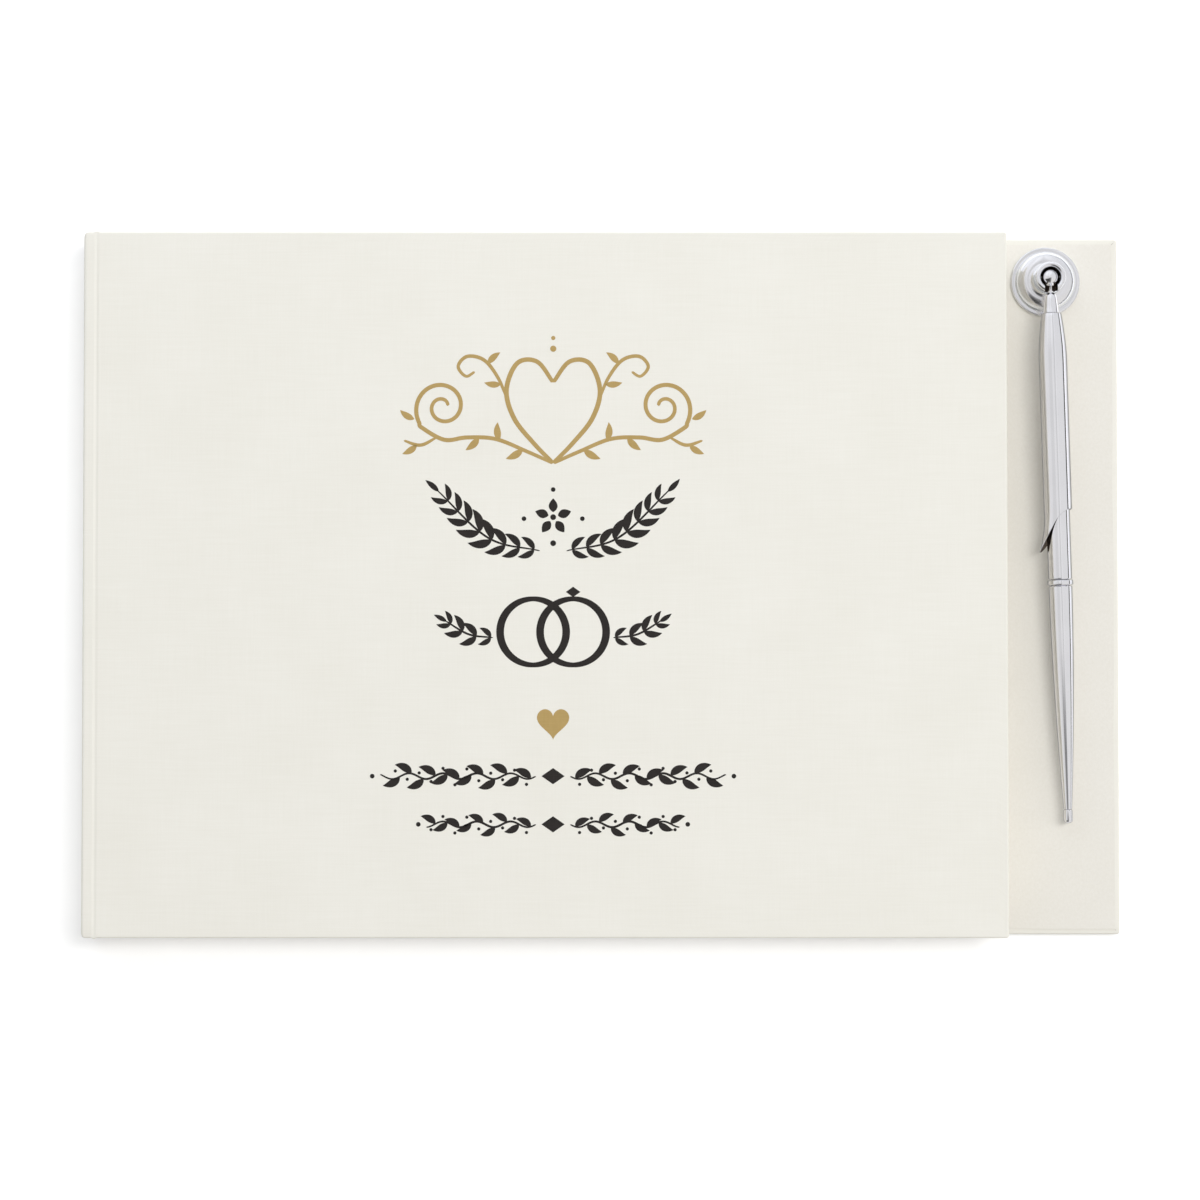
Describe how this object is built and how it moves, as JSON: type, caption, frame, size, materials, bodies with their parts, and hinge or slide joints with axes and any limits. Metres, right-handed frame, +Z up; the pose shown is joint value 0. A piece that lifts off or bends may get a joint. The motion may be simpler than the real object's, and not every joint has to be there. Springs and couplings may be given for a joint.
{
  "type": "wedding guest book with pen holder",
  "caption": "Landscape hardback guest book in ivory cloth whose longer back board carries a swivelling, tilting holder with a slim metal ballpoint pen.",
  "frame": {"origin": "centre of the underside of the closed book, on the surface it lies on", "axes": "+X from the spine to the fore edge, +Y to the head of the book, +Z up out of the front cover"},
  "size_m": [0.272, 0.184, 0.0175],
  "materials": {
    "ivory_cloth": "fine linen-look book cloth, matte",
    "greyboard": "binder's board",
    "endpaper": "ivory endpaper, matte",
    "leaf_paper": "ivory cartridge paper, matte",
    "gauze": "glued open-weave gauze",
    "band_silk": "woven band, soft sheen",
    "foam_tape": "double-sided foam pad",
    "satin_chrome": "polished to satin chrome",
    "steel": "plain turned steel",
    "brass": "turned brass",
    "plastic": "black moulded plastic"
  },
  "bodies": {
    "back_case": {"back_board": "greyboard", "back_cover_cloth": "ivory_cloth", "back_joint_cloth": "ivory_cloth", "back_pastedown": "endpaper", "back_flyleaf": "leaf_paper", "spine_board": "greyboard", "spine_cloth": "ivory_cloth", "spine_mull": "gauze", "headband": "band_silk", "tailband": "band_silk", "front_joint_cloth": "ivory_cloth", "section_4": "leaf_paper", "section_5": "leaf_paper", "section_6": "leaf_paper", "holder_base": "satin_chrome", "holder_foam_pad": "foam_tape", "swivel_washer": "steel"},
    "front_cover": {"front_board": "greyboard", "front_cover_cloth": "ivory_cloth", "front_pastedown": "endpaper"},
    "flyleaf": {"front_flyleaf": "leaf_paper"},
    "leaves_1": {"section_1": "leaf_paper"},
    "leaves_2": {"section_2": "leaf_paper"},
    "leaves_3": {"section_3": "leaf_paper"},
    "socket": {"socket_cup": "satin_chrome", "swivel_rivet": "steel", "tilt_pin": "steel"},
    "funnel": {"ball_stud": "satin_chrome", "pen_funnel": "satin_chrome", "funnel_nut": "steel", "funnel_bush": "plastic"},
    "pen": {"pen_nib": "brass", "pen_refill": "plastic", "pen_nose": "satin_chrome", "pen_barrel": "satin_chrome", "pen_ring": "satin_chrome", "pen_tail": "satin_chrome", "pen_end_cap": "satin_chrome"}
  },
  "joints": [
    {"name": "front_cover_hinge", "type": "hinge", "parent": "back_case", "child": "front_cover", "pos_m": [-0.1329, 0, 0.0176], "axis": [0, -1, 0], "range_deg": [0, 179], "deforming": ["front_joint_cloth"]},
    {"name": "flyleaf_turn", "type": "hinge", "parent": "back_case", "child": "flyleaf", "pos_m": [-0.1329, 0, 0.0176], "axis": [0, -1, 0], "range_deg": [0, 179]},
    {"name": "leaves_1_turn", "type": "hinge", "parent": "back_case", "child": "leaves_1", "pos_m": [-0.1329, 0, 0.0176], "axis": [0, -1, 0], "range_deg": [0, 179]},
    {"name": "leaves_2_turn", "type": "hinge", "parent": "back_case", "child": "leaves_2", "pos_m": [-0.1329, 0, 0.0176], "axis": [0, -1, 0], "range_deg": [0, 179]},
    {"name": "leaves_3_turn", "type": "hinge", "parent": "back_case", "child": "leaves_3", "pos_m": [-0.1329, 0, 0.0176], "axis": [0, -1, 0], "range_deg": [0, 179]},
    {"name": "holder_swivel", "type": "hinge", "parent": "back_case", "child": "socket", "pos_m": [0.1169, 0.0806, 0.0133], "axis": [0, 0, 1], "range_deg": [-5, 180]},
    {"name": "holder_tilt", "type": "hinge", "parent": "socket", "child": "funnel", "pos_m": [0.1169, 0.0806, 0.0133], "axis": [-0.9994, -0.0349, 0], "range_deg": [0, 92.3]},
    {"name": "pen_slide", "type": "slide", "parent": "funnel", "child": "pen", "axis": [0.0349, -0.9986, -0.0401], "range_m": [0, 0.06]}
  ],
  "couplings": [
    {"joint": "flyleaf_turn", "follows": "front_cover_hinge", "ratio": 0.996},
    {"joint": "leaves_1_turn", "follows": "front_cover_hinge", "ratio": 0.99},
    {"joint": "leaves_2_turn", "follows": "front_cover_hinge", "ratio": 0.983},
    {"joint": "leaves_3_turn", "follows": "front_cover_hinge", "ratio": 0.975}
  ]
}
